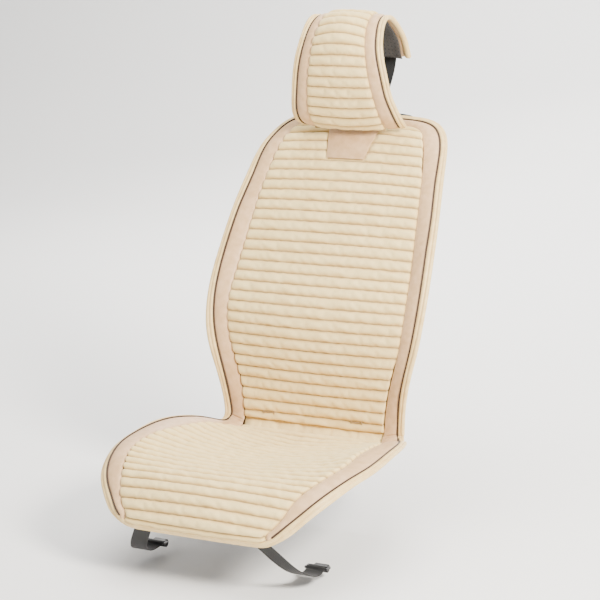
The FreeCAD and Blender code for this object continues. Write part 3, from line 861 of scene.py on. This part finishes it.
stitch = {"pitch": 4.2 * mm, "length": 2.9 * mm, "radius": 0.32 * mm, "sides": 5, "rings": 4, "flatter": 0.8,
          "batch": 30, "reach": 12 * mm, "inset": 2.2 * mm, "skipped": 3}
tack = {"across": 0.102, "low": 0.040, "high": 0.060, "bar": 24 * mm, "leg": 9 * mm, "thread": 1.4 * mm,
        "proud": 4.6 * mm, "ahead": -0.2, "tries": 40}


def addThread(shape, place, along, outward, length, radius):
    side = along.cross(outward).normalized()
    outward = side.cross(along).normalized()
    turned = Matrix((side, outward, along.normalized())).transposed().to_4x4()
    made = bmesh.ops.create_uvsphere(shape, u_segments=stitch["sides"], v_segments=stitch["rings"], radius=1)
    scale = Matrix.Diagonal((radius, radius * stitch["flatter"], length / 2, 1))
    bmesh.ops.transform(shape, matrix=Matrix.Translation(place) @ turned @ scale, verts=made["verts"])


def stitchesAlong(name, line, tree, part):  # made in small batches, as one operator slows on a big mesh
    whole = bmesh.new()
    batch = bmesh.new()
    spots = evenly(line, stitch["pitch"], relax=0)
    for i, (before, spot, after) in enumerate(zip(spots, spots[1:], spots[2:])):
        outward = (spot - coreFor(spot, part)).normalized()
        found = tree.ray_cast(spot + outward * stitch["reach"], -outward)[0]
        if found is not None:
            addThread(batch, found, after - before, outward, stitch["length"], stitch["radius"])
        if i % stitch["batch"] == 0 or i == len(spots) - 3:
            mesh = bpy.data.meshes.new("batch")
            batch.to_mesh(mesh)
            whole.from_mesh(mesh)
            bpy.data.meshes.remove(mesh)
            batch.clear()
    batch.free()
    return finishPiece(whole, name, "thread")


def surfaceOf(piece):
    shape = bmesh.new()
    shape.from_mesh(piece.data)
    tree = BVHTree.FromBMesh(shape)
    shape.free()
    return tree


def insetLine(inner, outer, gap):
    return [p + (nearestOn(outer, p) - p).normalized() * gap for p in inner]


seamLine = insetLine(innerLine, outerLine, stitch["inset"])[stitch["skipped"]:-stitch["skipped"]]
seamStitches = stitchesAlong("cover_seam_stitches", seamLine, surfaceOf(coverBorder), "cover")
bendAtCrease(seamStitches)
bindingMiddle = [p.lerp(nearestOn(bindingOuter, p, True), 0.5) for p in bindingInner]
bindingStitches = stitchesAlong("cover_binding_stitches", bindingMiddle, surfaceOf(coverBinding), "cover")
bendAtCrease(bindingStitches)


def valleyNear(tree, x):  # the height in the given band where the quilt lies deepest
    best = None
    for i in range(tack["tries"] + 1):
        z = tack["low"] + (tack["high"] - tack["low"]) * i / tack["tries"]
        found = tree.ray_cast(Vector((x, tack["ahead"], z)), Vector((0, 1, 0)))[0]
        if found is not None and (best is None or found.y > best.y):
            best = found
    return best


def makeTacks():  # two H-shaped bars of thread over the lowest valley of the backrest
    shape = bmesh.new()
    tree = surfaceOf(coverQuilt)
    for middle in (-tack["across"], tack["across"]):
        valley = valleyNear(tree, middle)
        for offset, along, length in ((0, Vector((1, 0, 0)), tack["bar"]),
                                      (-tack["bar"] / 2, Vector((0, 0, 1)), tack["leg"]),
                                      (tack["bar"] / 2, Vector((0, 0, 1)), tack["leg"])):
            place = valley + Vector((offset, -tack["proud"], 0))
            addThread(shape, place, along, Vector((0, -1, 0)), length, tack["thread"])
    piece = finishPiece(shape, "bar_tacks", "shadedTackThread")
    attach(piece, "backrest")


makeTacks()
print("stitches made")


backing = {"columns": 26, "liningColumns": 16, "samples": 300, "rowStep": 11 * mm, "thick": 1.3 * mm,
           "creaseRows": 9, "cornerOut": 7 * mm}


def clothRows(tree, part, columns):
    rows = skinRows(tree, part, backing["samples"], True)
    count = round(rows[-1][0] / backing["rowStep"])
    return [rowAcross(tree, part, rows, angleAt(rows, rows[-1][0] * i / count), columns, True)
            for i in range(count + 1)]


def clothPiece(name, rows):
    shape, cells = gridShape(rows)
    flat = shape.loops.layers.uv["flat"]
    lengths = [0.0]
    middle = len(rows[0]) // 2
    for a, b in zip(rows, rows[1:]):
        lengths.append(lengths[-1] + (b[middle] - a[middle]).length)
    for face in shape.faces:
        for loop in face.loops:
            i, j = cells[loop.vert.index]
            loop[flat].uv = (rows[i][j].x, lengths[i])
    piece = finishPiece(shape, name, "nonSlip")
    wall = piece.modifiers.new("wall", "SOLIDIFY")
    wall.thickness = backing["thick"]
    wall.offset = 1
    return piece


def makeCoverBacking():  # one sheet, led round the crease by a curve drawn towards a corner outside it
    columns = evenShares(backing["columns"])
    seatRows = clothRows(treeOf(["seat_non_slip_backing"]), "seat", columns)
    backRows = clothRows(treeOf(["back_non_slip_backing"]), "back", columns)
    crossing = []
    for step in range(1, backing["creaseRows"]):
        share = step / backing["creaseRows"]
        row = []
        for a, b in zip(seatRows[-1], backRows[0]):
            corner = Vector((b.x, b.y + backing["cornerOut"], a.z - backing["cornerOut"]))
            row.append(a * (1 - share) ** 2 + corner * 2 * share * (1 - share) + b * share ** 2)
        crossing.append(row)
    piece = clothPiece("cover_backing_cloth", seatRows + crossing + backRows)
    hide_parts("seat_non_slip_backing", "back_non_slip_backing")
    return piece


coverBacking = makeCoverBacking()
bendAtCrease(coverBacking)
liningRows = clothRows(treeOf(["headrest_lining"]), "head", evenShares(backing["liningColumns"]))
headrestLining = clothPiece("headrest_lining_cloth", liningRows)
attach(headrestLining, "headrest_cover")
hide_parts("headrest_lining")
print("backing cloths made")


fitting = {"flat": 1.5, "corner": 50, "crisp": 40}  # angles in degrees: merged, bevelled, shown sharp
bevels = {"hook": 0.5 * mm, "disc": 0.6 * mm, "webbing": 0.3 * mm, "shell": 0.8 * mm, "prongs": 0.6 * mm,
          "tape": 0.2 * mm, "label": 0.6 * mm}


def refinedCopy(node, name, finish, bevel, segments=2):
    shape = bmesh.new()
    shape.from_mesh(nodes[node].data)
    bmesh.ops.remove_doubles(shape, verts=shape.verts, dist=weld["cad"])
    bmesh.ops.dissolve_limit(shape, angle_limit=math.radians(fitting["flat"]), verts=shape.verts,
                             edges=shape.edges)
    corners = [e for e in shape.edges
               if len(e.link_faces) == 2 and e.calc_face_angle() > math.radians(fitting["corner"])]
    bmesh.ops.bevel(shape, geom=corners, offset=bevel, segments=segments, profile=0.5, affect="EDGES",
                    material=-1, clamp_overlap=True)
    piece = finishPiece(shape, name, finish, sharp=fitting["crisp"])
    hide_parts(node)
    return piece


for side in ("left", "right"):
    piece = refinedCopy(f"front_hook_{side}", f"moulded_hook_{side}", "plastic", bevels["hook"])
    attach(piece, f"front_hook_{side}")
    piece = refinedCopy(f"anchor_disc_{side}", f"slotted_disc_{side}", "plastic", bevels["disc"])
    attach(piece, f"anchor_disc_{side}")
    piece = refinedCopy(f"front_strap_{side}", f"front_webbing_{side}", "webbing", bevels["webbing"],
                        1)
    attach(piece, f"front_strap_{side}")
    piece = refinedCopy(f"anchor_strap_{side}", f"anchor_webbing_{side}", "webbing", bevels["webbing"],
                        1)
    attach(piece, "backrest")
piece = refinedCopy("buckle_socket", "buckle_shell", "plastic", bevels["shell"])
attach(piece, "backrest")
piece = refinedCopy("buckle_plug", "buckle_prongs", "plastic", bevels["prongs"])
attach(piece, "top_strap_plug")
piece = refinedCopy("top_strap_fixed_half", "top_webbing_fixed", "webbing", bevels["webbing"],
                    1)
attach(piece, "backrest")
piece = refinedCopy("top_strap_plug_half", "top_webbing_plug", "webbing", bevels["webbing"],
                    1)
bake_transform(piece)
piece = refinedCopy("headrest_closure_elastics", "closure_webbing", "webbing", bevels["webbing"],
                    1)
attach(piece, "closure_flap")
piece = refinedCopy("headrest_hook_tapes", "hook_tape_patches", "hookTape", bevels["tape"], 1)
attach(piece, "closure_flap")
piece = refinedCopy("headrest_loop_tapes", "loop_tape_patches", "loopTape", bevels["tape"], 1)
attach(piece, "headrest_cover")
piece = refinedCopy("label_patch", "plain_label_patch", "border", bevels["label"])
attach(piece, "backrest")
print("fittings made")
